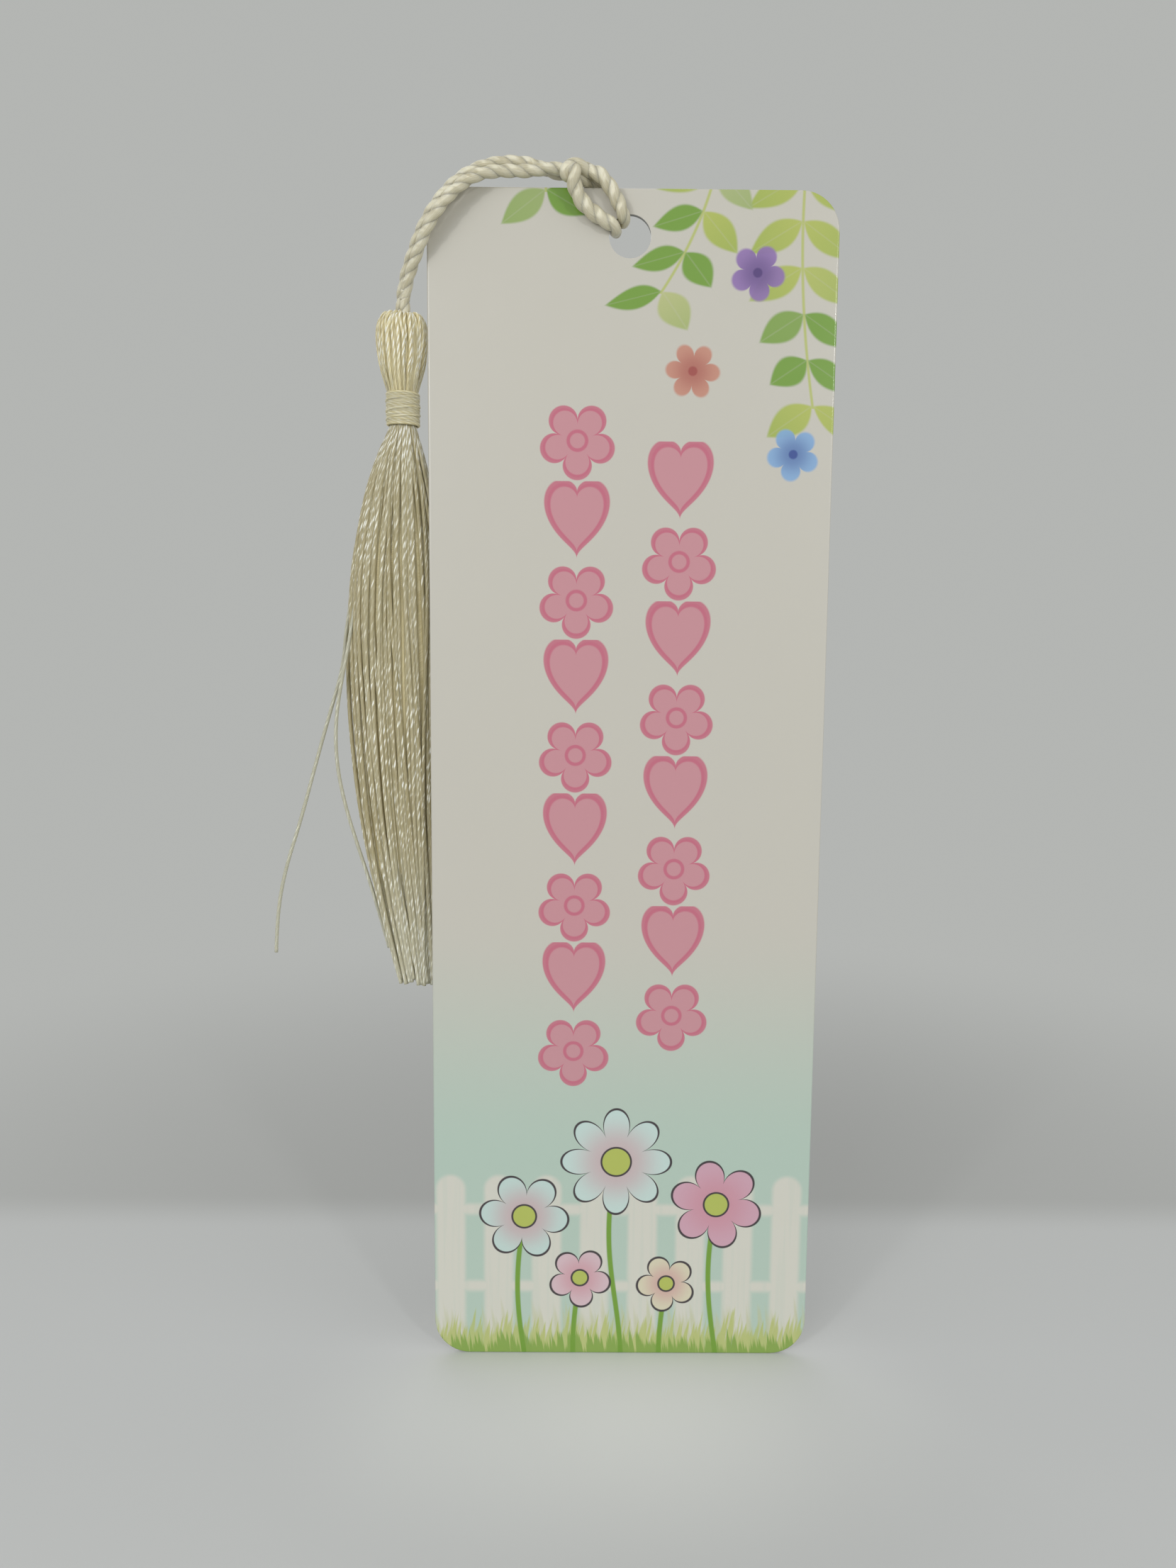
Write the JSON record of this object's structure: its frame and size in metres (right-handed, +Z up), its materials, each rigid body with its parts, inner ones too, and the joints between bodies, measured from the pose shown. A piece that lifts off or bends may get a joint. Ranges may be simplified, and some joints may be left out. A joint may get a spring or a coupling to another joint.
{
  "type": "bookmark",
  "caption": "Slim gloss plastic bookmark card with rounded corners and a punched hole, and a cream floss tassel hitched through it on a doubled cord.",
  "frame": {"origin": "middle of the card's back face", "axes": "+Z up along the card towards the hole, +X to the right across the printed front, +Y out of the back face, away from the reader"},
  "size_m": [0.0729, 0.0113, 0.1567],
  "materials": {
    "card_plastic": "gloss, printed on the front",
    "cord_floss": "silky twisted cord",
    "tassel_floss": "silky twisted yarn",
    "wrap_thread": "silky thread"
  },
  "bodies": {
    "card": {"card": "card_plastic", "cord_hitch": "cord_floss"},
    "cord": {"cord_leg_back": "cord_floss", "cord_leg_front": "cord_floss"},
    "knot": {"cord_knot": "cord_floss"},
    "tassel": {"tassel_head": "tassel_floss", "neck_wrap": "wrap_thread", "tassel_skirt": "tassel_floss", "stray_thread_long": "tassel_floss", "stray_thread_short": "tassel_floss"}
  },
  "joints": [
    {"name": "cord_swing", "type": "hinge", "parent": "card", "child": "cord", "pos_m": [-0.01015, -0.0004, 0.0783], "axis": [0, 1, 0], "range_deg": [0, 65]},
    {"name": "tassel_sway", "type": "hinge", "parent": "cord", "child": "knot", "pos_m": [-0.02875, 0.001, 0.0619], "axis": [0, 1, 0], "range_deg": [0, 55]},
    {"name": "tassel_tilt", "type": "hinge", "parent": "knot", "child": "tassel", "pos_m": [-0.02875, 0.001, 0.0619], "axis": [1, 0, 0], "range_deg": [0, 50]}
  ]
}
